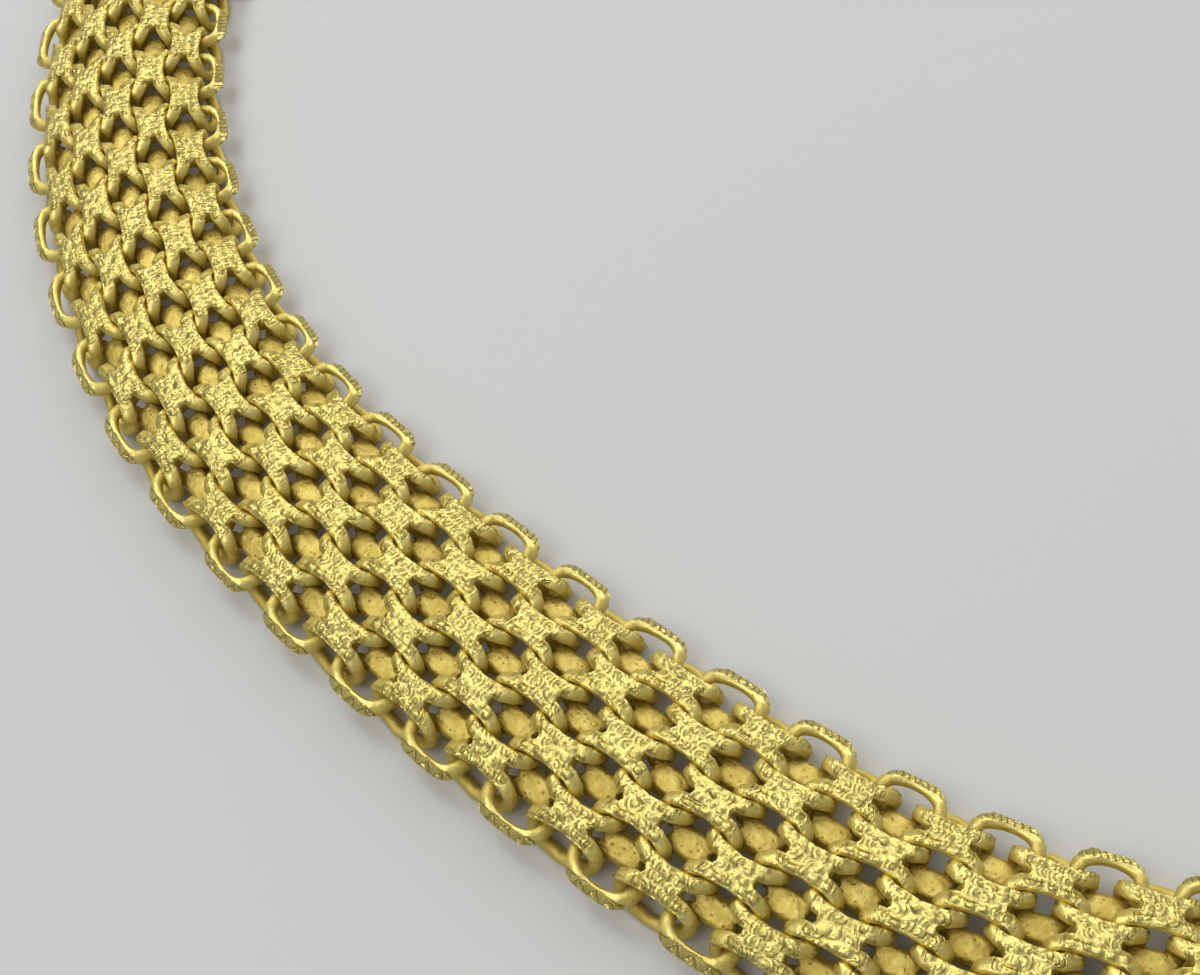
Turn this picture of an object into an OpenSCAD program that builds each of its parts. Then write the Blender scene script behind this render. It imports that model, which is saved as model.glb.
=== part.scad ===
// Wide woven collar necklace: rows of fused wire links, laid flat as a closed loop.
// The front of the loop is at -Y, the clasp at +Y, and the loop rests on Z = 0.

/* [Loop] */
// Radius of the flatter arc at the front, along the middle of the band
front_radius = 146; // [130:1:170]
// Length from the front middle to either end of that arc
front_half = 17; // [12:0.5:22]
// Radius of the two rounder arcs at the front corners
corner_radius = 53; // [48:0.5:58]
// Length of each corner arc; one plain arc closes the loop behind them
corner_length = 43; // [36:0.5:50]

/* [Weave] */
// Distance from one row of links to the next, along the loop
row_pitch = 2.5; // [2.3:0.05:2.8]
// Distance from one column of fused sides to the next, across the band
column_pitch = 2.1; // [1.9:0.05:2.3]
// Number of columns across the band, both edges counted
columns = 7; // [5:2:9]
// Radius of the band's crown, seen at its end
crown_radius = 13; // [11.5:0.1:24]
// Thickness from the top of the upper sides to the bottom of the lower sides
band_thick = 1.76; // [1.6:0.02:2.2]
// How far the lower sides' inner faces lie below the tops of the upper sides
pad_depth = 0.92; // [0.6:0.02:1]
// How far the links' ends lie below the tops, where two rows meet
curl_depth = 0.22; // [0.1:0.02:0.4]

/* [Edges] */
// How far the edge sides bulge past the outermost column line
bow_out = 0.57; // [0.3:0.01:0.7]
// How far the crest of an edge side stands inside its own outer face
bow_crest = 0.42; // [0.2:0.02:0.6]
// How far the edge draws in between two links, from the outermost column line
notch = 0.3; // [0:0.05:0.6]

/* [Clasp] */
// Shortest length of the clasp; the whole rows that fit leave it a little longer
clasp_min = 11; // [8:0.5:16]
// Clearance between the clasp and each end of the band
clasp_gap = 0.1; // [0.05:0.01:0.3]

/* [Hidden] */
$fn = 96;

// Plan of the loop: four arcs that meet without a corner. The back arc's middle is at x = 0.
degrees_per_radian = 180 / PI;
front_turn = front_half / front_radius * degrees_per_radian;
bend = front_turn + corner_length / corner_radius * degrees_per_radian;
corner_x = (front_radius - corner_radius) * sin(front_turn);
back_radius = corner_radius + corner_x / sin(bend);
back_length = back_radius * (180 - bend) / degrees_per_radian;
half_loop = front_half + corner_length + back_length;

// Places of the arcs' middles, with the loop's centre at y = 0.
corner_behind_front = front_radius - (front_radius - corner_radius) * cos(front_turn);
back_behind_front = corner_behind_front + (back_radius - corner_radius) * cos(bend);
front_y = (back_behind_front + back_radius) / 2;
corner_y = corner_behind_front - front_y;
back_y = back_behind_front - front_y;

// An odd number of rows, so that both ends of the band fall between two rows.
rows_that_fit = floor((2 * half_loop - clasp_min - 2 * clasp_gap) / row_pitch);
rows = rows_that_fit - (rows_that_fit % 2 == 0 ? 1 : 0);
band_half = rows * row_pitch / 2;
clasp_turn = (half_loop - band_half - clasp_gap) / back_radius * degrees_per_radian;

// Section of the band: places across it run along the crown.
last = columns - 1;
half_band = last / 2 * column_pitch;
edge_bow = half_band + bow_out;
edge_crest = edge_bow - bow_crest;
side_depth = (band_thick - pad_depth) / 2;
lower_bar_angle = edge_crest / crown_radius * degrees_per_radian;
crown_top = crown_radius - (crown_radius - band_thick) * cos(lower_bar_angle);

// Direction of travel at arc length s, counted from the front middle.
function heading(s) = let (a = abs(s))
    sign(s) * (
        a <= front_half ? a / front_radius * degrees_per_radian
        : a <= front_half + corner_length
            ? front_turn + (a - front_half) / corner_radius * degrees_per_radian
        : bend + (a - front_half - corner_length) / back_radius * degrees_per_radian
    );

// Point on the middle line at arc length s.
function middle(s) = let (a = abs(s), t = abs(heading(s)))
    a <= front_half
        ? [sign(s) * front_radius * sin(t), front_radius - front_y - front_radius * cos(t)]
    : a <= front_half + corner_length
        ? [sign(s) * (corner_x + corner_radius * sin(t)), corner_y - corner_radius * cos(t)]
    : [sign(s) * back_radius * sin(t), back_y - back_radius * cos(t)];

// Point at arc length s, at across towards the inside of the loop and depth below the crown.
function on_band(s, across, depth) =
    let (
        h = heading(s),
        m = middle(s),
        a = across / crown_radius * degrees_per_radian,
        y = (crown_radius - depth) * sin(a),
        z = crown_top - crown_radius + (crown_radius - depth) * cos(a)
    )
    [m[0] - y * sin(h), m[1] + y * cos(h), z];

// A fused pair lies on top where row and column add up to an even number, else below.
function is_upper(row, column) = (row + column) % 2 == 0;
function column_across(column) =
    column == 0 ? -edge_crest
    : column == last ? edge_crest
    : (column - last / 2) * column_pitch;

// Ring of points through the middle of a row: top, inner edge, underside, outer edge.
function row_ring(row) =
    let (
        s = row * row_pitch,
        edge_depth = is_upper(row, 0) ? side_depth : band_thick - side_depth
    )
    concat(
        [for (c = [0 : last]) on_band(s, column_across(c), is_upper(row, c) ? 0 : pad_depth)],
        [on_band(s, edge_bow, edge_depth)],
        [for (c = [last : -1 : 0])
            on_band(s, column_across(c), is_upper(row, c) ? band_thick - pad_depth : band_thick)],
        [on_band(s, -edge_bow, edge_depth)]
    );

// Ring of points between two rows, through the links' interlocked ends.
function link_end_ring(s) =
    let (edge = half_band - notch)
    concat(
        [for (c = [0 : last - 1]) on_band(s, (c + 0.5 - last / 2) * column_pitch, curl_depth)],
        [on_band(s, edge, band_thick / 2)],
        [for (c = [last - 1 : -1 : 0])
            on_band(s, (c + 0.5 - last / 2) * column_pitch, band_thick - curl_depth)],
        [on_band(s, -edge, band_thick / 2)]
    );

// Rings alternate: stations 0, 2, 4 ... lie between rows, stations 1, 3, 5 ... in a row.
end_count = 2 * last + 2;
row_count = 2 * columns + 2;
function ring_start(station) =
    floor(station / 2) * (end_count + row_count) + (station % 2) * end_count;
function ring(station) =
    station % 2 == 0 ? link_end_ring((station - rows) * row_pitch / 2)
    : row_ring((station - rows) / 2);

function facing(a, b, c, swap) = swap ? [a, c, b] : [a, b, c];

// Triangles between a row's ring at r and the ring of link ends at e.
function strip(r, e, swap) = concat(
    [for (i = [0 : last - 1]) facing(r + i, e + i, r + i + 1, swap)],
    [for (i = [0 : last - 2]) facing(r + i + 1, e + i, e + i + 1, swap)],
    [
        facing(r + last, e + last - 1, r + columns, swap),
        facing(r + columns, e + last - 1, e + last, swap),
        facing(r + columns, e + last, r + columns + 1, swap),
        facing(r + columns + 1, e + last, e + last + 1, swap)
    ],
    [for (i = [0 : last - 1])
        facing(r + columns + 1 + i, e + last + 1 + i, r + columns + 2 + i, swap)],
    [for (i = [0 : last - 2])
        facing(r + columns + 2 + i, e + last + 1 + i, e + last + 2 + i, swap)],
    [
        facing(r + row_count - 2, e + end_count - 2, r + row_count - 1, swap),
        facing(r + row_count - 1, e + end_count - 2, e + end_count - 1, swap),
        facing(r + row_count - 1, e + end_count - 1, r, swap),
        facing(r, e + end_count - 1, e, swap)
    ]
);

// The woven band as one closed body, from one side of the clasp round to the other.
module mesh_band() {
    stations = 2 * rows;
    points = [for (q = [0 : stations]) each ring(q)];
    first_cap = [for (i = [0 : end_count - 1]) end_count - 1 - i];
    last_cap = [for (i = [0 : end_count - 1]) ring_start(stations) + i];
    walls = [for (q = [0 : stations - 1]) each
        (q % 2 == 0
            ? strip(ring_start(q + 1), ring_start(q), false)
            : strip(ring_start(q), ring_start(q + 1), true))];
    color("goldenrod")
        polyhedron(points, concat([first_cap, last_cap], walls), convexity = 6);
}

// Plain box clasp: domed like the band, flat below, and curved with the back of the loop.
module clasp() {
    half_width = (crown_radius - side_depth) * sin(edge_bow / crown_radius * degrees_per_radian);
    color("darkgoldenrod")
        translate([0, back_y, 0])
            rotate([0, 0, 90 - clasp_turn])
                rotate_extrude(angle = 2 * clasp_turn)
                    intersection() {
                        translate([back_radius, crown_top - crown_radius])
                            circle(r = crown_radius);
                        translate([back_radius - half_width, 0])
                            square([2 * half_width, crown_top]);
                    }
}

mesh_band();
clasp();
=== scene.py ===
"""Dress the woven collar necklace: wire links, fused pairs, clasp, floor, lights and camera.

The band is drawn in band coordinates, in millimetres: along the loop from the middle of the
front, across the band towards the inside of the loop, and depth below the crown.  Loop.place
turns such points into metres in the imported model's own frame.
"""
import logging
import math
from dataclasses import dataclass, fields, replace
from enum import Enum
from typing import Optional, Union

import bpy
import numpy as np
from mathutils import Matrix, Vector
from numpy.typing import NDArray


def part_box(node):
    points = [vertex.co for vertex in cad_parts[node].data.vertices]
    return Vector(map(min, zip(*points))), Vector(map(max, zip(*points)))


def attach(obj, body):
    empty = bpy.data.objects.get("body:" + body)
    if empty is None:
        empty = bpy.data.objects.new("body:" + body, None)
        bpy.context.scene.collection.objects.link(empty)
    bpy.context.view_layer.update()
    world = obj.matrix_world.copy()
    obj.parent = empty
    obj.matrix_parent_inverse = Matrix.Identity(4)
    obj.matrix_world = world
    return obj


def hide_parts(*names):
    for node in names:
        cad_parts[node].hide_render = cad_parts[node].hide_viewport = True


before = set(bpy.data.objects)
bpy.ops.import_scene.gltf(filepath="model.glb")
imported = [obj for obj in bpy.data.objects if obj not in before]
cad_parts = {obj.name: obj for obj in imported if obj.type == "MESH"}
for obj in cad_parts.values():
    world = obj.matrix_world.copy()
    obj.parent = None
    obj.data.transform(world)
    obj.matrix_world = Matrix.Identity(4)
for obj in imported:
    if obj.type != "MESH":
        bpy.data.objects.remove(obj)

FloatArray = NDArray[np.float64]
IntArray = NDArray[np.int64]
Colour = tuple[float, float, float, float]

MILLIMETRE = 0.001
BODY = "root"
BAND_NODE = "mesh_band"
CLASP_NODE = "clasp"

# A pair's seed is the broken part of a large sine: its turns along and across, and its size.
SEED_ALONG, SEED_ACROSS, SEED_SIZE = 12.9898, 78.233, 43758.5453
# How far the band's side stays inside that of its solid, which leaves room for its unevenness.
SIDE_MARGIN = 0.03
# Clearance between the clasp and each end of the band.
CLASP_GAP = 0.1

log = logging.getLogger("collar_necklace")


class Side(Enum):
    """Which face of the band a fused pair lies on."""

    UPPER = "upper"
    LOWER = "lower"


class Relief(Enum):
    """What is struck into the upper faces of a gold piece."""

    PLAIN = "plain"
    STAMPED = "stamped"
    FACETS = "facets"
    CUTS = "cuts"


@dataclass
class Patch:
    """Faces in band coordinates, with the values that their material reads.

    The arrays hold one row for each point.  pair is the place along and across from the middle
    of the fused pair, and seed is that pair's own number from 0 to 1.
    """

    points: FloatArray
    faces: IntArray
    stamped: FloatArray
    pair: FloatArray
    seed: FloatArray

    @staticmethod
    def shape(
        points: FloatArray, faces: IntArray, stamped: FloatArray, pair_across: float
    ) -> "Patch":
        """One shape about its own middle, whose fused pair's middle stands at pair_across."""
        pair = points[:, :2] - (0.0, pair_across)
        return Patch(points, faces, stamped, pair, np.zeros(len(points)))

    def repeated(self, along: FloatArray, across: float, mirrored: bool) -> "Patch":
        """Copies the patch along the band as whole arrays.

        Args:
            along: Where each copy's middle stands along the loop.
            across: Where all the copies' middles stand across the band.
            mirrored: Whether the copies are turned over from inside to outside.

        Returns:
            One patch with all the copies.
        """
        copies = len(along)
        count = len(self.points)
        flip = -1.0 if mirrored else 1.0
        places = np.broadcast_to(self.points * (1.0, flip, 1.0), (copies, count, 3)).copy()
        places[:, :, 0] += along[:, None]
        places[:, :, 1] += across
        column = across + flip * (self.points[0, 1] - self.pair[0, 1])
        wave = np.sin(along * SEED_ALONG + column * SEED_ACROSS) * SEED_SIZE
        faces = self.faces[:, ::-1] if mirrored else self.faces
        steps = np.arange(copies)[:, None, None] * count
        return Patch(
            places.reshape(-1, 3),
            (faces[None, :, :] + steps).reshape(-1, 4),
            np.tile(self.stamped, copies),
            np.tile(self.pair * (1.0, flip), (copies, 1)),
            np.repeat(wave - np.floor(wave), count),
        )


def joined(patches: list[Patch]) -> Patch:
    """Joins patches into one, with the later ones' corner numbers moved up."""
    starts = np.cumsum([0] + [len(patch.points) for patch in patches[:-1]])
    moved = [replace(patch, faces=patch.faces + start) for patch, start in zip(patches, starts)]
    arrays = ([getattr(patch, field.name) for patch in moved] for field in fields(Patch))
    return Patch(*(np.concatenate(array) for array in arrays))


def tube_faces(rings: int, sides: int, closed: bool) -> IntArray:
    """Quads of a tube: ring after ring, side after side.

    Args:
        rings: How many rings of points the tube has.
        sides: How many points each ring has.
        closed: Whether the last ring joins the first.

    Returns:
        The corner numbers, one row for each quad.
    """
    steps = rings if closed else rings - 1
    ring, side = np.meshgrid(np.arange(steps), np.arange(sides), indexing="ij")
    after = (ring + 1) % rings * sides
    beside = (side + 1) % sides
    corners = (ring * sides + side, ring * sides + beside, after + beside, after + side)
    return np.stack(corners, axis=-1).reshape(-1, 4)


def cap_faces(first: int, sides: int, outward: bool) -> IntArray:
    """Quads that close the end of a tube, from one half of its ring across to the other.

    Args:
        first: The number of the ring's first point.
        sides: How many points the ring has, an even number.
        outward: Whether the faces follow the ring's own turn.

    Returns:
        The corner numbers, one row for each quad.
    """
    step = np.arange(sides // 2 - 1)
    corners = np.stack((step, step + 1, sides - 2 - step, sides - 1 - step), axis=-1) + first
    return corners if outward else corners[:, ::-1]


def normalised(vectors: FloatArray) -> FloatArray:
    """Vectors of length one."""
    return vectors / np.linalg.norm(vectors, axis=-1, keepdims=True)


@dataclass(frozen=True)
class Wave:
    """A sine wave over the band: its height, and its radians for each millimetre."""

    height: float
    by_along: float
    by_across: float
    start: float = 0.0

    def at(self, along: FloatArray, across: FloatArray) -> FloatArray:
        """The wave's value at each place."""
        return self.height * np.sin(self.by_along * along + self.by_across * across + self.start)


# The unevenness of a handled chain.  Each share is of Loop.unevenness, and the depth only
# sinks, less and less towards the places across where the band lies even.
ALONG_WAVES = (Wave(0.6, 0.83, 1.7), Wave(0.4, 1.31, -1.1, 2.0))
ACROSS_WAVES = (Wave(0.6, 0.97, -0.9, 1.0), Wave(0.4, 1.57, 0.6))
DEPTH_WAVE = Wave(1.0, 1.13, 1.3)
ACROSS_SHARE, DEPTH_SHARE = 0.7, 0.6
EVEN_ACROSS = 6.0


@dataclass(frozen=True)
class Loop:
    """Plan and crown of the band: one front arc, two corner arcs and one back arc."""

    crown_top: float
    half_width: float
    front_radius: float = 146.0
    front_half: float = 17.0
    corner_radius: float = 53.0
    corner_length: float = 43.0
    crown_radius: float = 13.0
    unevenness: float = 0.08

    @property
    def front_turn(self) -> float:
        """Angle from the front middle to the end of the front arc."""
        return self.front_half / self.front_radius

    @property
    def bend(self) -> float:
        """Angle from the front middle to the end of a corner arc."""
        return self.front_turn + self.corner_length / self.corner_radius

    @property
    def corner_x(self) -> float:
        """Distance from the middle plane to the middle of a corner arc."""
        return (self.front_radius - self.corner_radius) * math.sin(self.front_turn)

    @property
    def back_radius(self) -> float:
        """Radius of the back arc, whose middle is in the middle plane."""
        return self.corner_radius + self.corner_x / math.sin(self.bend)

    @property
    def length(self) -> float:
        """Length once round the loop, along the middle of the band."""
        back = self.back_radius * (math.pi - self.bend)
        return 2.0 * (self.front_half + self.corner_length + back)

    @property
    def corner_behind(self) -> float:
        """Distance from the front to the middle of a corner arc."""
        apart = self.front_radius - self.corner_radius
        return self.front_radius - apart * math.cos(self.front_turn)

    @property
    def back_behind(self) -> float:
        """Distance from the front to the middle of the back arc."""
        return self.corner_behind + (self.back_radius - self.corner_radius) * math.cos(self.bend)

    @property
    def front_y(self) -> float:
        """Distance from the loop's centre to the middle of the front."""
        return (self.back_behind + self.back_radius) / 2.0

    def heading(self, along: FloatArray) -> FloatArray:
        """Radians turned since the front: on each arc, the length gone over its radius."""
        reach = np.abs(along)
        front = np.minimum(reach, self.front_half) / self.front_radius
        corner = np.clip(reach - self.front_half, 0.0, self.corner_length) / self.corner_radius
        back = np.maximum(reach - self.front_half - self.corner_length, 0.0) / self.back_radius
        return np.sign(along) * (front + corner + back)

    def middle(self, along: FloatArray) -> tuple[FloatArray, FloatArray]:
        """Plan of the middle line: each arc's middle plus its radius in the direction of the turn.

        Args:
            along: Places along the loop.

        Returns:
            The x and y of each place.
        """
        turn = np.abs(self.heading(along))
        reach = np.abs(along)
        where = [reach <= self.front_half, reach <= self.front_half + self.corner_length]
        radius = np.select(where, [self.front_radius, self.corner_radius], self.back_radius)
        behind = np.select(where, [self.front_radius, self.corner_behind], self.back_behind)
        aside = np.select(where, [0.0, self.corner_x], 0.0)
        x = np.sign(along) * (aside + radius * np.sin(turn))
        return x, behind - self.front_y - radius * np.cos(turn)

    def worked(self, points: FloatArray) -> FloatArray:
        """Moves band points a little, as a handled chain lies, by sums of slow sine waves.

        Args:
            points: Places along, across and in depth, in millimetres.

        Returns:
            The moved points.
        """
        along, across, depth = points.T
        on = sum(wave.at(along, across) for wave in ALONG_WAVES)
        aside = sum(wave.at(along, across) for wave in ACROSS_WAVES)
        loose = np.clip(1.0 - (across / EVEN_ACROSS) ** 2, 0.0, 1.0)
        sunk = (1.0 + DEPTH_WAVE.at(along, across)) * loose
        moves = (on, ACROSS_SHARE * aside, DEPTH_SHARE * sunk)
        return points + self.unevenness * np.stack(moves, axis=-1)

    def place(self, points: FloatArray) -> FloatArray:
        """Places band points in the model's frame.

        A point goes round the crown by its place across over the crown's radius, at the
        radius less its depth, and the result stands square to the middle line.  What would
        lie under the table or past the band's half width is pressed back to it.

        Args:
            points: Places along, across and in depth, in millimetres.

        Returns:
            x, y and z in metres.
        """
        along, across, depth = self.worked(points).T
        turn = self.heading(along)
        x, y = self.middle(along)
        lean = across / self.crown_radius
        radius = self.crown_radius - depth
        inward = np.clip(radius * np.sin(lean), -self.half_width, self.half_width)
        z = np.maximum(self.crown_top - self.crown_radius + radius * np.cos(lean), 0.0)
        place = (x - inward * np.sin(turn), y + inward * np.cos(turn), z)
        return np.stack(place, axis=-1) * MILLIMETRE


@dataclass(frozen=True)
class Weave:
    """The grid of the band: rows along it, chains and columns of fused pairs across it."""

    row_pitch: float = 2.5
    column_pitch: float = 2.1
    columns: int = 7
    rows: int = 161
    thickness: float = 1.76

    @property
    def chains(self) -> int:
        """Chains of links, one between each two columns."""
        return self.columns - 1

    def across(self, place: float) -> float:
        """Where a place counted in columns from the outer edge stands across the band."""
        return (place - self.chains / 2) * self.column_pitch

    def rows_along(self, number: int, even: bool) -> FloatArray:
        """Where those rows stand whose sum with a chain's or a column's number is even, or odd.

        In the even ones, a chain's links have their upper side towards the outside, and a
        column's pairs lie on top.

        Args:
            number: Number of the chain or column, from the outside.
            even: Whether the even ones are asked for.

        Returns:
            Places along the loop, where row 0 is in the middle of the front.
        """
        rows = np.arange(self.rows) - self.rows // 2
        return rows[(rows + number) % 2 == (0 if even else 1)] * self.row_pitch


# Points that measure a quarter of a link's centreline, and the step for its direction.
FINE_STEPS, NUDGE = 400, 1e-3
# How far towards the upper side the stamped area starts.
STAMPED_FROM = 0.05


@dataclass(frozen=True)
class WireLink:
    """One oval wire link, tilted so that one long side lies on top and the other below.

    It is drawn with its upper side towards the inside of the loop.  Its shading is smooth
    all over, so that the pressed flats run softly into the round of the wire.
    """

    thickness: float
    half_length: float = 1.8
    upper_spread: float = 0.62
    lower_spread: float = 0.62
    upper_power: float = 2.3
    lower_power: float = 2.3
    drop_power: float = 7.0
    side_wire: float = 0.41
    tip_wire: float = 0.37
    flat_angle: float = math.radians(60.0)
    side_angles: tuple[float, float] = (math.radians(102.0), math.radians(150.0))
    tip_angles: tuple[float, float, float] = (30.0, 90.0, 150.0)
    rings_in_quarter: int = 4
    turn_share: float = 0.75
    pair_across: float = 1.05

    @property
    def half_drop(self) -> float:
        """Depth from the middle of the band to a long side, whose outer face is pressed flat."""
        return self.thickness / 2.0 - self.side_wire * math.cos(self.flat_angle)

    def centreline(self, angle: FloatArray) -> tuple[FloatArray, FloatArray]:
        """The middle of the wire: a superellipse in plan, and another one in depth.

        Along goes with the cosine of the angle, and across and depth with powers of its sine.

        Args:
            angle: Angles round the link, in radians, from the tip that points along the band.

        Returns:
            The points, and how far each is towards the upper side, from -1 to 1.
        """
        sine = np.sin(angle)
        power = np.where(sine > 0.0, self.upper_power, self.lower_power)
        plan = np.sign(sine) * np.abs(sine) ** (2.0 / power)
        drop = np.sign(sine) * np.abs(sine) ** (2.0 / self.drop_power)
        spread = np.where(plan > 0.0, self.upper_spread, self.lower_spread)
        depth = self.thickness / 2.0 - self.half_drop * drop
        points = (self.half_length * np.cos(angle), spread * plan, depth)
        return np.stack(points, axis=-1), plan

    def ring_angles(self) -> FloatArray:
        """Angles of the rings of points: close together where the wire turns, by quarters.

        From a tip to the middle of a long side, the rings stand at equal steps of the wire's
        turn, with a share of its length.
        """
        fine = np.linspace(0.0, math.pi / 2.0, FINE_STEPS)
        steps = np.diff(self.centreline(fine)[0], axis=0)
        lengths = np.linalg.norm(steps, axis=1)
        travel = steps / lengths[:, None]
        turns = np.arccos(np.clip((travel[1:] * travel[:-1]).sum(axis=1), -1.0, 1.0))
        turned = np.concatenate(([0.0], np.cumsum(turns), [turns.sum()]))
        gone = np.concatenate(([0.0], np.cumsum(lengths)))
        length_share = 1.0 - self.turn_share
        share = self.turn_share * turned / turned[-1] + length_share * gone / gone[-1]
        steps = np.arange(self.rings_in_quarter) / self.rings_in_quarter
        quarter = np.interp(steps, share, fine)
        half = np.concatenate((quarter, [math.pi / 2.0], math.pi - quarter[:0:-1]))
        return np.concatenate((half, half + math.pi))

    def section_angles(self, plan: FloatArray) -> FloatArray:
        """Angles of the six points of each ring, from the middle of the ring's flat.

        Two of them stand at the edges of the flat on a long side, and all six are spread
        evenly at a tip.

        Args:
            plan: How far each ring is towards the upper side.

        Returns:
            One row of angles for each ring, in radians.
        """
        on_side = np.array([self.flat_angle, *self.side_angles])
        at_tip = np.radians(self.tip_angles)
        share = 1.0 - (1.0 - np.abs(plan)[:, None]) ** 2
        half = at_tip + share * (on_side - at_tip)
        return np.concatenate((-half[:, ::-1], half), axis=1)

    def wire_radius(
        self, points: FloatArray, plan: FloatArray, section: FloatArray
    ) -> FloatArray:
        """One row of radii of the wire for each ring, thinner towards the tips."""
        radius = self.tip_wire + (self.side_wire - self.tip_wire) * np.abs(plan)
        return np.broadcast_to(radius[:, None], section.shape)

    def build(self) -> Patch:
        """Carries the wire's section round the centreline and presses its outer faces flat.

        Each ring stands square to the centreline.  Its flat faces up on the upper side and
        down on the lower one, and turns over gradually between them.  What would stand out
        of the band's thickness is pressed back to it.

        Returns:
            The link's closed surface.
        """
        angle = self.ring_angles()
        middle, plan = self.centreline(angle)
        travel = normalised(self.centreline(angle + NUDGE)[0] - self.centreline(angle - NUDGE)[0])
        tilt = math.atan2(self.half_drop, (self.upper_spread + self.lower_spread) / 2.0)
        square = np.array([0.0, math.sin(tilt), math.cos(tilt)])
        level = normalised(square - travel * (travel @ square)[:, None])
        outward = np.cross(travel, level)
        section = self.section_angles(plan)
        turned = section - ((math.pi / 2.0 - tilt) * plan)[:, None]
        radius = self.wire_radius(middle, plan, section)
        out_share, level_share = np.cos(turned)[..., None], np.sin(turned)[..., None]
        towards = out_share * outward[:, None, :] + level_share * level[:, None, :]
        offset = radius[..., None] * towards
        points = middle[:, None, :] + offset
        raised = -towards[..., 2]
        points[..., 2] = np.clip(points[..., 2], 0.0, self.thickness)
        rings, sides = section.shape
        return Patch.shape(
            points.reshape(-1, 3),
            tube_faces(rings, sides, closed=True),
            self.stamping(plan, section, raised).reshape(-1),
            self.pair_across,
        )

    def stamping(
        self, plan: FloatArray, section: FloatArray, raised: FloatArray
    ) -> FloatArray:
        """How far each point is in the stamped area: facing up, on the link's upper side.

        Args:
            plan: How far each ring is towards the upper side.
            section: Each ring's angles, from the middle of its flat; not used here.
            raised: How far each point faces up, from -1 to 1.

        Returns:
            Values from 0, plain, to 1, stamped.
        """
        facing = np.clip(raised / math.cos(self.flat_angle), 0.0, 1.0)
        return facing * (plan > STAMPED_FROM)[:, None]


# The edge bars in plan: how far their side stands out, and how square it is.
EDGE_SPREAD, EDGE_POWER = 1.2, 2.8
# Rings nearer to the outermost cut than this are left out for the cuts' own ones.
LEAST_RING_GAP = 0.06
# A ring is in a cut where the cosine of its place in the row of cuts is past this.
CUT_COSINE = 0.9
# A cut's depth goes with the sine of the section's angle, so turned and so moved on.
SHOULDER_TURN, SHOULDER_START = 0.75, 0.6
# The marked area of a bar: degrees from the middle of the flat, and the share there.
MARK_ANGLES = (-150.0, -102.0, -60.0, 102.0, 150.0)
MARK_SHARES = (0.0, 0.35, 1.0, 1.0, 0.35)
# How far towards the upper side the cuts start, and the marked area, which fades in.
CUTS_START, BAR_START, BAR_FADE = 0.5, 0.45, 0.2


@dataclass(frozen=True)
class EdgeLink(WireLink):
    """A link on the band's edge, whose upper side bows out in a squared D."""

    half_length: float = 1.66
    upper_spread: float = EDGE_SPREAD
    upper_power: float = EDGE_POWER
    side_wire: float = 0.42
    pair_across: float = EDGE_SPREAD
    cuts: int = 8
    cut_gap: float = 0.37
    cut_depth: float = 0.06

    def ring_angles(self) -> FloatArray:
        """Angles of the rings, with one at each side of each cut and one at its bottom."""
        plain = super().ring_angles()
        place = (np.arange(self.cuts * 2 + 1) - self.cuts) * self.cut_gap / 2.0
        cut = np.arccos(np.clip(-place / self.half_length, -1.0, 1.0))
        near = np.abs(np.cos(plain)) * self.half_length < place.max() + LEAST_RING_GAP
        on_bar = (np.sin(plain) > 0.0) & near
        return np.sort(np.concatenate((plain[~on_bar], cut)))

    def wire_radius(
        self, points: FloatArray, plan: FloatArray, section: FloatArray
    ) -> FloatArray:
        """Radius of the wire, less the cuts: notches on the outer half of the top."""
        radius = super().wire_radius(points, plan, section)
        along = points[:, 0]
        in_cut = np.cos(math.tau * along / self.cut_gap) > CUT_COSINE
        reach = (self.cuts + 0.5) * self.cut_gap / 2.0
        on_top = (plan > CUTS_START) & (np.abs(along) < reach)
        shoulder = np.clip(np.sin(SHOULDER_TURN * section + SHOULDER_START), 0.0, 1.0)
        return radius - self.cut_depth * (in_cut & on_top)[:, None] * shoulder

    def stamping(
        self, plan: FloatArray, section: FloatArray, raised: FloatArray
    ) -> FloatArray:
        """How far each point is in the cut area: the bar's flat, and a little down its sides."""
        marked = np.interp(np.degrees(section), MARK_ANGLES, MARK_SHARES)
        return marked * np.clip((plan[:, None] - BAR_START) / BAR_FADE, 0.0, 1.0)


# Where the rings of a fused pair stand, as shares of its half length.
PAIR_STATIONS = (-1.0, -0.88, -0.5, 0.0, 0.5, 0.88, 1.0)
# How steeply a fused pair's face falls off at its ends and towards its sides.
LIP_POWER, DOME_POWER = 8, 3
# How far the outer face of a fused pair lies inside the band's thickness.
FACE_SINK = 0.006


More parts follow.
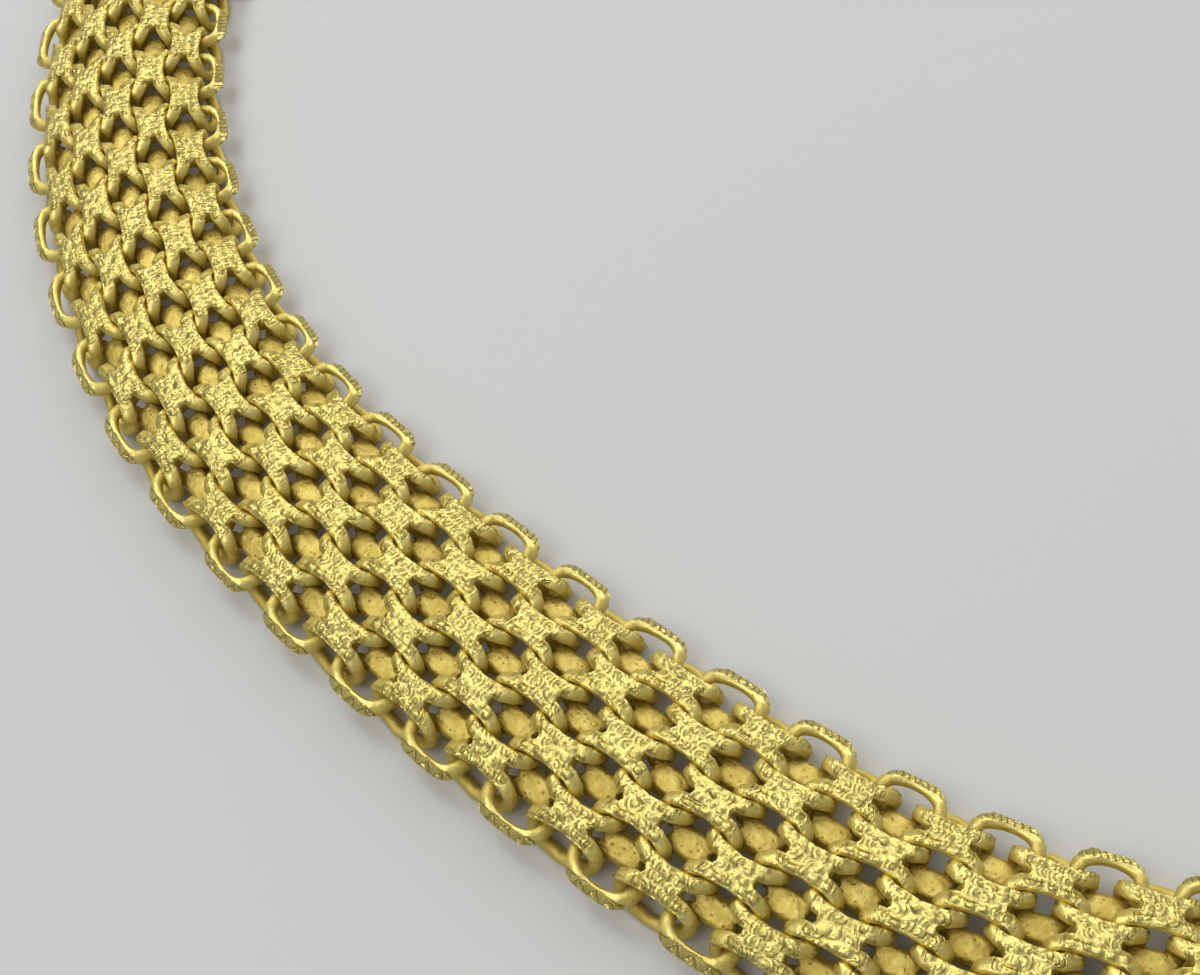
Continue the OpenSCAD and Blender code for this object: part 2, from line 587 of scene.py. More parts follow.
@dataclass(frozen=True)
class FusedPair:
    """The metal that joins two neighbours' long sides, as a small closed block.

    Across goes in shares of its half width.  Its face sinks from the middle outwards by the
    dome and at its ends by the lip, and its ends are slit in the middle and rounded off
    beyond the crest.
    """

    half_length: float
    half_width: float
    lip: float
    face_depth: float
    back_depth: float
    slit: float
    crest: float
    dome: float = 0.0
    rounded: float = 0.0
    back_reach: float = 0.0
    is_stamped: bool = False

    def build(self) -> Patch:
        """Carries a section of ten points along the pair, and closes both ends.

        The half length is reduced by the slit in the middle, falling off to nothing at the
        crest of a wire, and by the square of the place beyond the crest.

        Returns:
            The block's closed surface.
        """
        half_ring = np.array([-1.0, -self.crest, 0.0, self.crest, 1.0])
        across = np.concatenate((half_ring, half_ring[::-1]))
        on_face = np.arange(len(across)) < len(half_ring)
        step, side = np.meshgrid(PAIR_STATIONS, across, indexing="ij")
        out = np.abs(side)
        slit = self.slit * np.clip(1.0 - out / self.crest, 0.0, 1.0)
        beyond = np.clip((out - self.crest) / (1.0 - self.crest), 0.0, 1.0)
        reach = self.half_length - slit - self.rounded * beyond**2
        reach = reach + np.where(on_face, 0.0, self.back_reach)
        face = self.face_depth + self.lip * np.abs(step) ** LIP_POWER + self.dome * out**DOME_POWER
        depth = np.where(on_face, face, self.back_depth)
        points = np.stack((step * reach, side * self.half_width, depth), axis=-1)
        rings, sides = step.shape
        first_end = cap_faces(0, sides, outward=True)
        last_end = cap_faces((rings - 1) * sides, sides, outward=False)
        walls = tube_faces(rings, sides, closed=False)[:, ::-1]
        faces = np.concatenate((walls, first_end, last_end))
        stamped = np.tile(on_face & self.is_stamped, rings).astype(float)
        return Patch.shape(points.reshape(-1, 3), faces, stamped, 0.0)


def add_object(name: str, data: bpy.types.ID) -> bpy.types.Object:
    """Makes an object with the given data and links it to the scene."""
    made = bpy.data.objects.new(name, data)
    bpy.context.scene.collection.objects.link(made)
    return made


def smooth_piece(
    name: str, mesh: bpy.types.Mesh, material: bpy.types.Material
) -> bpy.types.Object:
    """Makes a piece of a mesh, with smooth shading and one material."""
    mesh.polygons.foreach_set("use_smooth", np.ones(len(mesh.polygons), dtype=bool))
    mesh.materials.append(material)
    return add_object(name, mesh)


@dataclass(frozen=True)
class Band:
    """The woven band: six chains of links, and the fused pairs that join them side by side."""

    loop: Loop
    weave: Weave
    stamped_gold: bpy.types.Material
    facet_gold: bpy.types.Material
    cut_gold: bpy.types.Material
    pad_gold: bpy.types.Material

    def links(self, shape: WireLink, number: int, outward: bool) -> Patch:
        """Copies of a link along a chain, whose upper side is towards the outside or not."""
        along = self.weave.rows_along(number, outward)
        return shape.build().repeated(along, self.weave.across(number + 0.5), outward)

    def chain(self, number: int) -> Patch:
        """One chain's links, less those whose upper side is on the band's edge."""
        weave = self.weave
        if number not in (0, weave.chains - 1):
            shape = WireLink(weave.thickness)
            return joined([self.links(shape, number, outward) for outward in (True, False)])
        shape = WireLink(weave.thickness, lower_spread=EDGE_SPREAD, lower_power=EDGE_POWER)
        return self.links(shape, number, number != 0)

    def edge_links(self, outer: bool) -> Patch:
        """The links whose upper side makes the loop's outer edge, or its inner one."""
        if outer:
            shape = EdgeLink(self.weave.thickness, cuts=5, cut_gap=0.5, cut_depth=0.02)
            return self.links(shape, 0, True)
        return self.links(EdgeLink(self.weave.thickness), self.weave.chains - 1, False)

    def pairs(self, side: Side) -> Patch:
        """All the fused pairs on one side of the band."""
        weave = self.weave
        is_upper = side is Side.UPPER
        if is_upper:
            shape = FusedPair(
                half_length=1.06, half_width=0.43, lip=0.02, face_depth=FACE_SINK,
                back_depth=0.74, slit=0.12, crest=0.6, back_reach=0.1, is_stamped=True,
            )
        else:
            shape = FusedPair(
                half_length=1.26, half_width=0.7, lip=0.1, face_depth=0.86,
                back_depth=weave.thickness - FACE_SINK, slit=0.3, crest=0.66, dome=0.08,
                rounded=0.24,
            )
        block = shape.build()
        return joined([
            block.repeated(weave.rows_along(column, is_upper), weave.across(column), False)
            for column in range(1, weave.columns - 1)
        ])

    def mesh(self, name: str, patch: Patch) -> bpy.types.Mesh:
        """Makes a mesh from a patch, with its maps and its attributes.

        The map named weave holds each corner's place along and across the band in
        millimetres, and the map named pair holds the same from the middle of its fused pair.
        The attribute depth holds millimetres below the crown.

        Args:
            name: The mesh's name.
            patch: The faces in band coordinates.

        Returns:
            The mesh in the model's frame.
        """
        mesh = bpy.data.meshes.new(name)
        mesh.from_pydata(self.loop.place(patch.points), [], patch.faces)
        mesh.update()
        corner = np.empty(len(mesh.loops), dtype=np.int64)
        mesh.loops.foreach_get("vertex_index", corner)
        for label, places in (("weave", patch.points[:, :2]), ("pair", patch.pair)):
            layer = mesh.uv_layers.new(name=label)
            layer.data.foreach_set("uv", places[corner].astype(np.float32).ravel())
        values = {"stamped": patch.stamped, "depth": patch.points[:, 2], "seed": patch.seed}
        for label, value in values.items():
            attribute = mesh.attributes.new(label, "FLOAT", "POINT")
            attribute.data.foreach_set("value", value.astype(np.float32))
        return mesh

    def dress(
        self, name: str, patch: Patch, material: bpy.types.Material
    ) -> bpy.types.Object:
        """Turns a patch into a piece that rides on the body and replaces the band's solid."""
        piece = smooth_piece(name, self.mesh(name, patch), material)
        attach(piece, BODY)
        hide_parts(BAND_NODE)
        return piece

    def make(self) -> list[bpy.types.Object]:
        """Makes every piece of the band, each in place of the band's solid."""
        parts = [
            (f"chain_{number + 1}_links", self.chain(number), self.stamped_gold)
            for number in range(self.weave.chains)
        ]
        parts += [
            ("outer_edge_links", self.edge_links(outer=True), self.facet_gold),
            ("inner_edge_links", self.edge_links(outer=False), self.cut_gold),
            ("upper_fusings", self.pairs(Side.UPPER), self.stamped_gold),
            ("lower_fusings", self.pairs(Side.LOWER), self.pad_gold),
        ]
        return [self.dress(*part) for part in parts]


@dataclass(frozen=True)
class Clasp:
    """A plain box clasp: domed like the band, flat below, and curved with the back of the loop."""

    loop: Loop
    material: bpy.types.Material
    half_length: float
    rounding: float = 0.45
    corner_points: int = 5
    flat_points: int = 9
    crown_points: int = 17
    end_rings: int = 6
    middle_rings: int = 13
    most_inset: float = 0.98

    def section(self, inset: FloatArray) -> FloatArray:
        """Outline of the clasp seen at its end, drawn in by an inset.

        It goes along the flat underside from the outside in, and back over the crown, whose
        height at each place is that of a circle.  Its corners are rounded with arcs.

        Args:
            inset: How far each ring is drawn in.

        Returns:
            Across and height for each point of each ring.
        """
        inset = inset[:, None]
        quarter = np.radians(np.linspace(0.0, 90.0, self.corner_points))
        flat = np.linspace(-1.0, 1.0, self.flat_points)[1:-1]
        wide = self.loop.half_width - self.rounding
        crown = np.linspace(1.0, -1.0, self.crown_points)[1:-1] * wide
        radius = self.loop.crown_radius
        centre = self.loop.crown_top - radius
        side_top = centre + math.sqrt(radius**2 - wide**2) - self.rounding
        sine = (self.rounding - inset) * np.sin(quarter)
        cosine = (self.rounding - inset) * np.cos(quarter)
        across = (
            flat * wide + 0.0 * inset,
            wide + sine,
            wide + cosine,
            crown + 0.0 * inset,
            -wide - sine,
            -wide - cosine,
        )
        height = (
            inset + 0.0 * flat,
            self.rounding - cosine,
            side_top + sine,
            centre + np.sqrt(radius**2 - crown**2) - inset,
            side_top + cosine,
            self.rounding - sine,
        )
        return np.stack((np.concatenate(across, axis=1), np.concatenate(height, axis=1)), axis=-1)

    def make(self) -> bpy.types.Object:
        """Carries the outline along the back of the loop, with rounded ends, and closes them.

        Near an end the outline draws in as a quarter circle does.

        Returns:
            The clasp's piece.
        """
        quarter = np.radians(np.linspace(0.0, 90.0, self.end_rings))
        round_end = self.half_length - self.rounding * (1.0 - np.sin(quarter))
        shares = np.linspace(-1.0, 1.0, self.middle_rings)[1:-1]
        straight = shares * (self.half_length - self.rounding)
        along = np.concatenate((-round_end[::-1], straight, round_end))
        draw_in = self.rounding * (1.0 - np.cos(quarter)) * self.most_inset
        outline = self.section(np.concatenate((draw_in[::-1], 0.0 * straight, draw_in)))
        rings, sides, _ = outline.shape
        turn = (along / self.loop.back_radius)[:, None]
        centre_y = self.loop.front_y - self.loop.back_radius
        radius = self.loop.back_radius - outline[..., 0]
        place = (radius * np.sin(turn), centre_y + radius * np.cos(turn), outline[..., 1])
        points = np.stack(place, axis=-1)
        hubs = points[[0, -1]].mean(axis=1)
        points = np.concatenate((points.reshape(-1, 3), hubs))
        side = np.arange(sides)
        beside = (side + 1) % sides
        hub = np.full(sides, rings * sides)
        start = (rings - 1) * sides
        first = np.stack((hub, side, beside), axis=-1)
        last = np.stack((hub + 1, beside + start, side + start), axis=-1)
        walls = tube_faces(rings, sides, closed=False)[:, ::-1]
        mesh = bpy.data.meshes.new("clasp_box")
        faces = walls.tolist() + first.tolist() + last.tolist()
        mesh.from_pydata(points * MILLIMETRE, [], faces)
        piece = smooth_piece("clasp_box", mesh, self.material)
        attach(piece, BODY)
        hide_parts(CLASP_NODE)
        return piece


class Value:
    """A node's output, on which sums are written as in words."""

    def __init__(self, sheet: "NodeSheet", socket: bpy.types.NodeSocket) -> None:
        """Keeps the socket and the sheet that it is on."""
        self.sheet, self.socket = sheet, socket

    def __add__(self, other: "Feed") -> "Value":
        """The sum."""
        return self.sheet.math("ADD", self, other)

    def __sub__(self, other: "Feed") -> "Value":
        """The difference."""
        return self.sheet.math("SUBTRACT", self, other)

    def __mul__(self, other: "Feed") -> "Value":
        """The product."""
        return self.sheet.math("MULTIPLY", self, other)

    def __truediv__(self, other: "Feed") -> "Value":
        """The quotient."""
        return self.sheet.math("DIVIDE", self, other)

    def __abs__(self) -> "Value":
        """The size, without its sign."""
        return self.sheet.math("ABSOLUTE", self)

    def ramp(self, low: "Feed", high: "Feed", start: "Feed" = 0.0, end: "Feed" = 1.0) -> "Value":
        """Smoothly from start, up to low, to end, from high on."""
        feeds = dict(enumerate((self, low, high, start, end)))
        node = self.sheet.add("ShaderNodeMapRange", feeds, interpolation_type="SMOOTHSTEP")
        return self.sheet.read(node)

    def fade(self, low: "Feed", high: "Feed") -> "Value":
        """One up to low, and smoothly down to nothing at high."""
        return self.ramp(low, high, 1.0, 0.0)


Feed = Union[Value, float, tuple]


class NodeSheet:
    """Adds and joins the nodes of one tree."""

    def __init__(self, tree: bpy.types.NodeTree) -> None:
        """Keeps the tree that the nodes go into."""
        self.tree = tree

    def add(
        self, kind: str, feeds: Optional[dict[Union[int, str], Feed]] = None, **settings: object
    ) -> bpy.types.Node:
        """Adds a node.

        Args:
            kind: The node's type name.
            feeds: What its inputs are linked or set to, by name or number.
            **settings: The node's own properties.

        Returns:
            The new node.
        """
        node = self.tree.nodes.new(kind)
        for name, value in settings.items():
            setattr(node, name, value)
        for key, value in (feeds or {}).items():
            if isinstance(value, Value):
                self.tree.links.new(value.socket, node.inputs[key])
            else:
                node.inputs[key].default_value = value
        return node

    def read(self, node: bpy.types.Node, key: Union[int, str] = 0) -> Value:
        """One of a node's outputs."""
        return Value(self, node.outputs[key])

    def math(self, operation: str, *values: Feed, clamp: bool = False) -> Value:
        """The result of a Math node, held between 0 and 1 where it is clamped."""
        feeds = dict(enumerate(values))
        return self.read(self.add("ShaderNodeMath", feeds, operation=operation, use_clamp=clamp))

    def vector(self, operation: str, *values: Feed) -> Value:
        """The result of a Vector Math node: a number for a length, else a vector."""
        node = self.add("ShaderNodeVectorMath", dict(enumerate(values)), operation=operation)
        return self.read(node, "Value" if operation == "LENGTH" else "Vector")

    def combined(self, x: Feed, y: Feed, z: Feed = 0.0) -> Value:
        """A vector from its three parts."""
        return self.read(self.add("ShaderNodeCombineXYZ", {0: x, 1: y, 2: z}))

    def parts(self, whole: Value, kind: str = "XYZ") -> list[Value]:
        """The three parts of a vector, or of a colour."""
        node = self.add("ShaderNodeSeparate" + kind, {0: whole})
        return [self.read(node, number) for number in range(3)]

    def mapped(self, name: str) -> Value:
        """The place in one of the mesh's maps."""
        return self.read(self.add("ShaderNodeUVMap", uv_map=name))

    def attribute(self, name: str) -> Value:
        """One of the mesh's attributes."""
        return self.read(self.add("ShaderNodeAttribute", attribute_name=name), "Fac")

    def mixed(self, share: Feed, first: Feed, second: Feed) -> Value:
        """Two colours mixed by a share."""
        feeds = {0: share, 6: first, 7: second}
        return self.read(self.add("ShaderNodeMix", feeds, data_type="RGBA"), 2)


class GroupSheet(NodeSheet):
    """The sheet of a new shader node group, whose sockets are all numbers."""

    def __init__(self, name: str, inputs: dict[str, float], outputs: list[str]) -> None:
        """Starts the group.

        Args:
            name: The group's name.
            inputs: Each input's name and usual value.
            outputs: The outputs' names.
        """
        super().__init__(bpy.data.node_groups.new(name, "ShaderNodeTree"))
        kind = "NodeSocketFloat"
        for label, usual in inputs.items():
            socket = self.tree.interface.new_socket(label, in_out="INPUT", socket_type=kind)
            socket.default_value = usual
        for label in outputs:
            self.tree.interface.new_socket(label, in_out="OUTPUT", socket_type=kind)
        self.start = self.add("NodeGroupInput")
        self.end = self.add("NodeGroupOutput")

    def given(self, label: str) -> Value:
        """One of the group's inputs."""
        return self.read(self.start, label)

    def give(self, label: str, value: Value) -> None:
        """Feeds one of the group's outputs."""
        self.tree.links.new(value.socket, self.end.inputs[label])


# How far apart the noise of two pairs lies for seeds that differ by one.
SEED_SPREAD = 53.0
# The noise that bends a pattern: its scale, its middle and its reach along and across.
STAMP_BEND = (1.7, 0.0, (0.26, 0.26, 0.0))
HAND_BEND = (2.6, 0.5, (0.34, 0.26, 0.0))
# How many cells a seed of one moves the stamped pattern along and across.
SEED_CELLS_ALONG, SEED_CELLS_ACROSS = 997.0, 613.0
# Where the pair's middle stands between two rows of domes, in cells.
ROW_PLACE = 0.34
# The arcs: the range of their turn in radians, and their depth beside a dome's height.
ARC_TURN, ARC_DEPTH = 1.2, 0.34
# How far inside the pattern's end it starts to fade.
END_FADE = 0.22
# The outer edge's marks beside the engraved line's depth, the slope for each millimetre.
FACET_SLOPE, FACET_CUT = 2.8, 0.5
# The inner edge's marks: a facet's rise along the bar, and the depth of a cut.
CUT_RISE, CUT_DEPTH = 1.6, 0.8


class Effects:
    """The node groups that the golds share, each built once."""

    def __init__(self) -> None:
        """Builds the groups."""
        self.grain = self.build_grain()
        self.hollow_shade = self.build_hollow_shade()
        self.reliefs = {
            Relief.STAMPED: self.build_stamping(),
            Relief.FACETS: self.build_facets(),
            Relief.CUTS: self.build_cuts(),
        }

    @staticmethod
    def build_grain() -> bpy.types.NodeTree:
        """Fine matte grain, small lumps, soft clouds and a few pits, all in object space."""
        sizes = {"Grain size": 0.07, "Lump size": 0.45, "Cloud size": 1.6}
        inputs = {**sizes, "Pit spacing": 0.26, "Pit size": 0.1}
        sheet = GroupSheet("Matte grain", inputs, ["Grain", "Lumps", "Clouds", "Pits"])
        place = sheet.read(sheet.add("ShaderNodeTexCoord"), "Object")
        point = sheet.vector("MULTIPLY", place, (1.0 / MILLIMETRE,) * 3)
        for size, label, detail in zip(sizes, ("Grain", "Lumps", "Clouds"), (3.0, 1.0, 2.0)):
            scale = sheet.math("DIVIDE", 1.0, sheet.given(size))
            feeds = {"Vector": point, "Scale": scale, "Detail": detail}
            sheet.give(label, sheet.read(sheet.add("ShaderNodeTexNoise", feeds)))
        spacing = sheet.given("Pit spacing")
        feeds = {"Vector": point, "Scale": sheet.math("DIVIDE", 1.0, spacing)}
        cells = sheet.add("ShaderNodeTexVoronoi", feeds, feature="F1")
        share = sheet.read(cells, "Distance") * spacing / sheet.given("Pit size")
        deep = sheet.parts(sheet.read(cells, "Color"), "Color")[0]
        sheet.give("Pits", share.fade(0.2, 1.0) * deep.ramp(0.25, 0.9))
        return sheet.tree

    @staticmethod
    def bent_place(
        sheet: NodeSheet, scale: float, middle: float, reach: tuple[float, float, float]
    ) -> Value:
        """The place from the middle of the fused pair, bent by noise as handwork is.

        Args:
            sheet: The sheet that it is drawn on.
            scale: Scale of the noise.
            middle: Value of the noise that leaves a place where it is.
            reach: How far the noise moves a place along and across.

        Returns:
            The bent place, which differs from pair to pair by their seeds.
        """
        place = sheet.mapped("pair")
        along, across, _ = sheet.parts(place)
        seeded = sheet.combined(along, across, sheet.attribute("seed") * SEED_SPREAD)
        feeds = {"Vector": seeded, "Scale": scale}
        noise = sheet.add("ShaderNodeTexNoise", feeds, noise_dimensions="3D")
        centred = sheet.vector("SUBTRACT", sheet.read(noise, "Color"), (middle, middle, 0.0))
        return sheet.vector("MULTIPLY_ADD", centred, reach, place)

    @classmethod
    def build_stamping(cls) -> bpy.types.NodeTree:
        """The stamped pattern of each fused pair: rows of small domes with arcs cut into them.

        The cells of a shaken grid are drawn in the pair's own place, moved by whole cells by
        its seed and bent a little by noise.  Each cell is a dome, and its cuts are lines of
        equal distance from a centre behind it.  The outer columns have deeper cuts.
        """
        inputs = {"Cell length": 0.58, "Cell width": 0.5, "Shake": 0.5}
        inputs |= {"Cut gap": 0.23, "Arc centre": 0.26, "Reach": 1.62}
        sheet = GroupSheet("Stamped pattern", inputs, ["Height", "Cuts"])
        size = sheet.combined(sheet.given("Cell length"), sheet.given("Cell width"), 1.0)
        shake = sheet.given("Shake")
        seed = sheet.attribute("seed")
        column = sheet.math("FLOOR", seed * SEED_CELLS_ALONG)
        row = sheet.math("FLOOR", seed * SEED_CELLS_ACROSS) + ROW_PLACE + shake * -0.5
        bent = cls.bent_place(sheet, *STAMP_BEND)
        in_cells = sheet.vector("DIVIDE", bent, size)
        moved = sheet.vector("ADD", in_cells, sheet.combined(column, row))
        feeds = {"Vector": moved, "Scale": 1.0, "Randomness": shake}
        cells, border = (
            sheet.add("ShaderNodeTexVoronoi", feeds, voronoi_dimensions="2D", feature=feature)
            for feature in ("F1", "DISTANCE_TO_EDGE")
        )
        apart = sheet.vector("SUBTRACT", moved, sheet.read(cells, "Position"))
        local = sheet.vector("MULTIPLY", apart, size)
        turned, weight, flipped = sheet.parts(sheet.read(cells, "Color"), "Color")
        half_turn = sheet.math("GREATER_THAN", flipped, 0.5) * math.pi
        turn = (turned - 0.5) * ARC_TURN + half_turn
        behind = sheet.given("Arc centre")
        centre = sheet.combined(
            sheet.math("COSINE", turn) * behind, sheet.math("SINE", turn) * behind
        )
        distance = sheet.vector("LENGTH", sheet.vector("ADD", local, centre))
        arcs = sheet.math("COSINE", distance / sheet.given("Cut gap") * math.tau).ramp(0.0, 1.0)
        off_middle = abs(sheet.parts(sheet.mapped("weave"))[1])
        least = off_middle.ramp(2.6, 3.8, 0.5, 0.05)
        strength = (weight - least).ramp(-0.1, 0.1, 0.2, 1.0)
        inside = sheet.read(border, "Distance").ramp(0.02, 0.14)
        dome = sheet.read(cells, "Distance").fade(0.0, 0.68)
        dome = dome * weight.ramp(0.0, 1.0, 1.2, 0.6)
        end = sheet.given("Reach")
        on_pair = abs(sheet.parts(sheet.mapped("pair"))[0]).fade(end - END_FADE, end)
        lines = arcs * strength * inside * on_pair
        sheet.give("Height", (dome - lines * ARC_DEPTH) * on_pair)
        # Cut shade: where painted shade goes in the arc cuts.
        sheet.give("Cuts", lines)
        return sheet.tree

    @classmethod
    def build_facets(cls) -> bpy.types.NodeTree:
        """The outer edge's face: two rows of triangular facets outside an engraved line.

        Across is counted outwards.  A triangle wave along the bar parts the two rows, and
        each facet slopes down towards the wave.
        """
        inputs = {"Facet length": 0.45, "Inner end": -0.25, "Outer end": 0.46}
        sheet = GroupSheet("Edge facets", inputs, ["Height", "Cuts"])
        along, across, _ = sheet.parts(cls.bent_place(sheet, *HAND_BEND))
        inner = sheet.given("Inner end")
        above = across * -1.0 - inner
        turns = along / (sheet.given("Facet length") * 2.0)
        wave = abs(sheet.math("FRACT", turns + 0.25) * 2.0 - 1.0)
        apart = above - wave * (sheet.given("Outer end") - inner)
        on_face = above.ramp(0.0, 0.05)
        line = abs(above).fade(0.03, 0.08)
        edge = abs(apart).fade(0.0, 0.1)
        slope = abs(apart) * FACET_SLOPE
        sheet.give("Height", (slope - edge * FACET_CUT) * on_face - line)
        # Painted shade: the engraved line, the facets' edges and the whole outer row are darker.
        shaded_outer_row = apart.ramp(-0.01, 0.01, 0.0, 0.28)
        marks = sheet.math("MAXIMUM", edge, shaded_outer_row) * on_face
        sheet.give("Cuts", sheet.math("MAXIMUM", line, marks))
        return sheet.tree

    @classmethod
    def build_cuts(cls) -> bpy.types.NodeTree:
        """The inner edge's face: short facets on its outer half, parted by slanting cuts.

        Each facet rises along the bar and drops at a cut.  The rim on the inside stays plain.
        """
        inputs = {"Cut gap": 0.37, "Slant": 0.7, "Rim": -0.3}
        sheet = GroupSheet("Edge cuts", inputs, ["Height", "Cuts"])
        along, across, _ = sheet.parts(cls.bent_place(sheet, *HAND_BEND))
        above = across - sheet.given("Rim")
        slanted = along + above * above * sheet.given("Slant")
        share = sheet.math("FRACT", slanted / sheet.given("Cut gap") + 0.5)
        cut = (abs(share - 0.5) * 2.0).ramp(0.66, 0.94)
        on_face = above.ramp(-0.04, 0.04)
        rise = (share - 0.5) * CUT_RISE
        shade = share.ramp(0.25, 0.75, 0.12, 0.0)
        sheet.give("Height", (rise - cut * CUT_DEPTH) * on_face)
        # Painted shade in the cuts and on the low end of each facet.
        sheet.give("Cuts", sheet.math("MAXIMUM", cut, shade) * on_face)
        return sheet.tree

    @staticmethod
    def build_hollow_shade() -> bpy.types.NodeTree:
        """Painted shade: a darker warm tone below the tops by the attribute of depth, partly the
        sides' own warmer tone.
        """
        sheet = GroupSheet("Hollow tone", {"From": 0.05, "To": 1.5}, ["Share"])
        depth = sheet.attribute("depth")
        sheet.give("Share", depth.ramp(sheet.given("From"), sheet.given("To")))
        return sheet.tree


# What the painted shade below the tops has of the deep tone, where the clouds' random tone has the
# rest.
HOLLOW_SHADE_SHARE = 0.7
# How far the clouds change the roughness, either way.
GLOSS_SPREAD = 0.05
# How much painted shade a pit gets for each millimetre of its relief.
SHADE_BY_PIT = 26.0
# How much less deep the pressed faces are, partly their polish and partly a painted highlight, and
# how much less rough.
PRESSED_POLISH_AND_HIGHLIGHT, PRESSED_GLOSS = 0.2, 0.26
# Where the clouds and the lumps change from their least to their most.
CLOUD_RANGE, LUMP_RANGE = (0.3, 0.7), (0.35, 0.65)
# Where the mask of the pressed faces goes from nothing to all.
MASK_RANGE = (0.45, 0.75)


@dataclass(frozen=True)
class Gold:
    """One gold finish: its tones, its gloss and the depth of its relief in millimetres."""

    name: str
    roughness: float = 0.6
    grain_relief: float = 0.02
    lump_relief: float = 0.05
    pit_relief: float = 0.01
    relief: Relief = Relief.PLAIN
    relief_height: float = 0.0
    cut_shade: float = 0.0
    mottle: float = 0.1
    bright: Colour = (0.82, 0.69, 0.22, 1.0)
    # The deep tone: painted shade below the tops, and the clouds' random tone.
    deep: Colour = (0.62, 0.475, 0.115, 1.0)
    # The colour of painted shade in pits, cuts and on the darker facets.
    shade_colour: Colour = (0.26, 0.18, 0.035, 1.0)

    def make(self, effects: Effects) -> bpy.types.Material:
        """Builds the material from the shared effects.

        Args:
            effects: The node groups.

        Returns:
            The new material.
        """
        material = bpy.data.materials.new(self.name)
        material.use_nodes = True
        sheet = NodeSheet(material.node_tree)
        material.node_tree.nodes.clear()
        grain = sheet.add("ShaderNodeGroup", node_tree=effects.grain)
        hollow_shade_share = sheet.read(sheet.add("ShaderNodeGroup", node_tree=effects.hollow_shade))
        lumps, clouds, pits = (sheet.read(grain, label) for label in ("Lumps", "Clouds", "Pits"))
        # Painted shade below the tops, partly the sides' own tone, mixed with the clouds' random
        # tone.
        shade_and_tone = hollow_shade_share * HOLLOW_SHADE_SHARE + clouds.ramp(*CLOUD_RANGE) * (1.0 - HOLLOW_SHADE_SHARE)
        mottled = lumps.ramp(*LUMP_RANGE, -self.mottle, self.mottle)
        shade_and_tone = sheet.math("SUBTRACT", shade_and_tone, mottled, clamp=True)
        least, most = self.roughness - GLOSS_SPREAD, self.roughness + GLOSS_SPREAD
        roughness = clouds.ramp(*CLOUD_RANGE, least, most)
        height = sheet.read(grain, "Grain") * self.grain_relief + lumps * self.lump_relief
        height = height - pits * self.pit_relief
        # Painted shade in the pits, by their relief.
        painted_shade = pits * (self.pit_relief * SHADE_BY_PIT)
        if self.relief is not Relief.PLAIN:
            mask = sheet.attribute("stamped").ramp(*MASK_RANGE)
            pattern = sheet.add("ShaderNodeGroup", node_tree=effects.reliefs[self.relief])
            height = height + sheet.read(pattern, "Height") * self.relief_height * mask
            cut = sheet.read(pattern, "Cuts") * mask
            # Painted highlight, partly the polish of the pressed faces: they take less of the deep
            # tone.
            shade_and_tone = sheet.math("SUBTRACT", shade_and_tone, mask * PRESSED_POLISH_AND_HIGHLIGHT, clamp=True)
            # Painted shade in the cuts and on the darker facets.
            painted_shade = sheet.math("MAXIMUM", painted_shade, cut * self.cut_shade)
            roughness = roughness - mask * PRESSED_GLOSS
        bump = sheet.add("ShaderNodeBump", {"Height": height, "Distance": MILLIMETRE})
        tone = sheet.mixed(shade_and_tone, self.bright, self.deep)
        feeds = {
            # The shade colour is mixed in where painted shade falls.
            "Base Color": sheet.mixed(painted_shade, tone, self.shade_colour),
            "Metallic": 1.0,
            "Roughness": roughness,
            "Normal": sheet.read(bump),
        }
        shader = sheet.add("ShaderNodeBsdfPrincipled", feeds)
        sheet.add("ShaderNodeOutputMaterial", {"Surface": sheet.read(shader)})
        return material


FINISHES = (
    Gold(
        "woven_gold_stamped", roughness=0.62, lump_relief=0.03,
        relief=Relief.STAMPED, relief_height=0.115, cut_shade=0.6,
    ),
    Gold("woven_gold_facets", relief=Relief.FACETS, relief_height=0.16, cut_shade=0.75),
    Gold("woven_gold_cuts", relief=Relief.CUTS, relief_height=0.14, cut_shade=0.7),
    Gold(
        "woven_gold_matte", roughness=0.54, grain_relief=0.022, lump_relief=0.09,
        pit_relief=0.025, mottle=0.4, bright=(0.73, 0.59, 0.17, 1.0),
    ),
    Gold(
        "clasp_gold_satin", roughness=0.5, grain_relief=0.006, lump_relief=0.02,
        pit_relief=0.0,
    ),
)


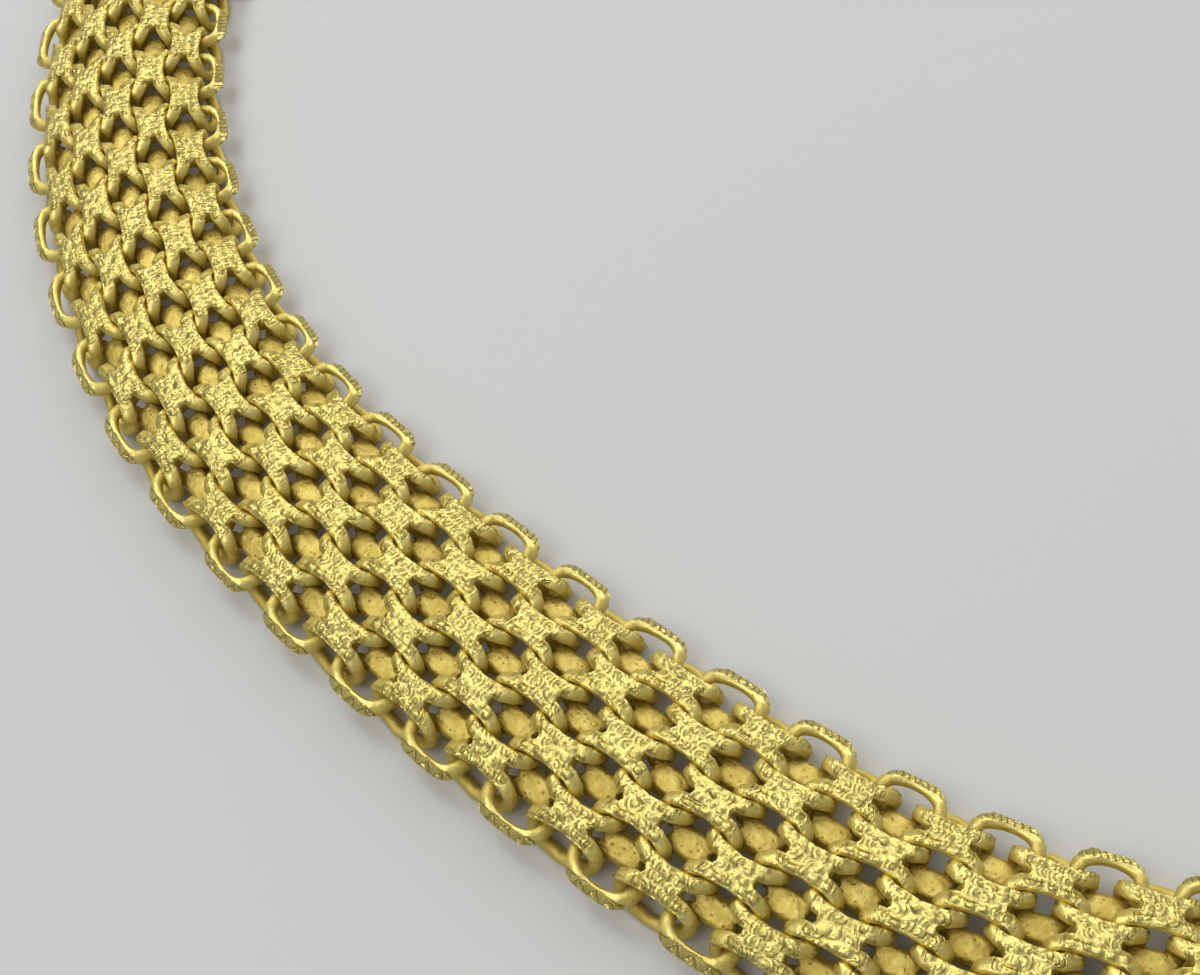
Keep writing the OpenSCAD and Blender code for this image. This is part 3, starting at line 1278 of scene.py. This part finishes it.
@dataclass(frozen=True)
class Studio:
    """A pale floor, soft light and the camera at the photograph's angle."""

    camera_place: tuple[float, float, float] = (30.601, -79.358, 72.021)
    camera_aim: tuple[float, float, float] = (-2.675, -53.902, 2.115)
    camera_roll: float = math.radians(-13.811)
    focal_length: float = 47.785
    sensor_width: float = 36.0
    floor_half: float = 1500.0
    floor_gap: float = 0.02
    floor_tone: Colour = (0.62, 0.62, 0.61, 1.0)
    floor_roughness: float = 0.75
    room_tone: Colour = (1.0, 1.0, 1.0, 1.0)
    room_strength: float = 0.36

    def make_camera(self) -> None:
        """Places the camera, and turns it about its own line of sight by the roll."""
        data = bpy.data.cameras.new("studio_camera")
        data.lens = self.focal_length
        data.sensor_width = self.sensor_width
        data.sensor_fit = "HORIZONTAL"
        data.clip_start = 0.001
        data.clip_end = 20.0
        camera = add_object("studio_camera", data)
        place = Vector(self.camera_place) * MILLIMETRE
        back = (place - Vector(self.camera_aim) * MILLIMETRE).normalized()
        level = Vector((0.0, 0.0, 1.0)).cross(back).normalized()
        upright = back.cross(level)
        right = level * math.cos(self.camera_roll) + upright * math.sin(self.camera_roll)
        turn = Matrix((right, back.cross(right), back)).transposed().to_4x4()
        camera.matrix_world = Matrix.Translation(place) @ turn
        bpy.context.scene.camera = camera

    def make_floor(self) -> None:
        """Lays a pale floor just under the necklace."""
        half = self.floor_half * MILLIMETRE
        z = -self.floor_gap * MILLIMETRE
        corners = [(-half, -half, z), (half, -half, z), (half, half, z), (-half, half, z)]
        mesh = bpy.data.meshes.new("studio_floor")
        mesh.from_pydata(corners, [], [(0, 1, 2, 3)])
        material = bpy.data.materials.new("pale_floor")
        material.use_nodes = True
        shader = material.node_tree.nodes["Principled BSDF"]
        shader.inputs["Base Color"].default_value = self.floor_tone
        shader.inputs["Roughness"].default_value = self.floor_roughness
        mesh.materials.append(material)
        floor = add_object("studio_floor", mesh)

    @staticmethod
    def make_light(
        name: str, place: tuple[float, float, float], size: float, watts: float
    ) -> None:
        """Hangs a square soft light that faces the necklace, with place and size in metres."""
        data = bpy.data.lights.new(name, "AREA")
        data.size = size
        data.energy = watts
        light = add_object(name, data)
        light.location = place
        light.rotation_euler = Vector(place).to_track_quat("Z", "Y").to_euler()

    def make_lights(self) -> None:
        """Soft light from above, three smaller lights for glints, and a pale room."""
        self.make_light("ceiling_light", (-0.2, 0.3, 0.75), size=0.9, watts=1.4)
        self.make_light("window_light", (-0.55, 0.1, 0.5), size=0.3, watts=1.35)
        self.make_light("back_light", (-0.2, 0.9, 0.36), size=0.68, watts=3.2)
        self.make_light("front_light", (-0.2, -0.43, 0.62), size=0.55, watts=1.8)
        world = bpy.data.worlds.new("grey_room")
        world.use_nodes = True
        background = world.node_tree.nodes["Background"]
        background.inputs["Color"].default_value = self.room_tone
        background.inputs["Strength"].default_value = self.room_strength
        bpy.context.scene.world = world
        bpy.context.scene.view_settings.view_transform = "Standard"


def report(piece: bpy.types.Object) -> None:
    """Logs a piece's name and its number of faces."""
    log.info("%s: %d faces", piece.name, len(piece.data.polygons))


def main() -> None:
    """Builds the studio and every piece."""
    logging.basicConfig(level=logging.INFO, format="%(message)s")
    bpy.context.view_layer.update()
    studio = Studio()
    studio.make_camera()
    plan = Loop(crown_top=0.0, half_width=0.0)
    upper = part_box(CLASP_NODE)[1] / MILLIMETRE
    loop = Loop(crown_top=upper.z, half_width=upper.y - plan.front_y - SIDE_MARGIN)
    weave = Weave()
    effects = Effects()
    *band_golds, clasp_gold = (finish.make(effects) for finish in FINISHES)
    band = Band(loop, weave, *band_golds)
    for piece in band.make():
        report(piece)
    half_length = loop.length / 2.0 - weave.rows * weave.row_pitch / 2.0 - CLASP_GAP
    report(Clasp(loop, clasp_gold, half_length).make())
    studio.make_floor()
    studio.make_lights()


if __name__ == "__main__":
    main()
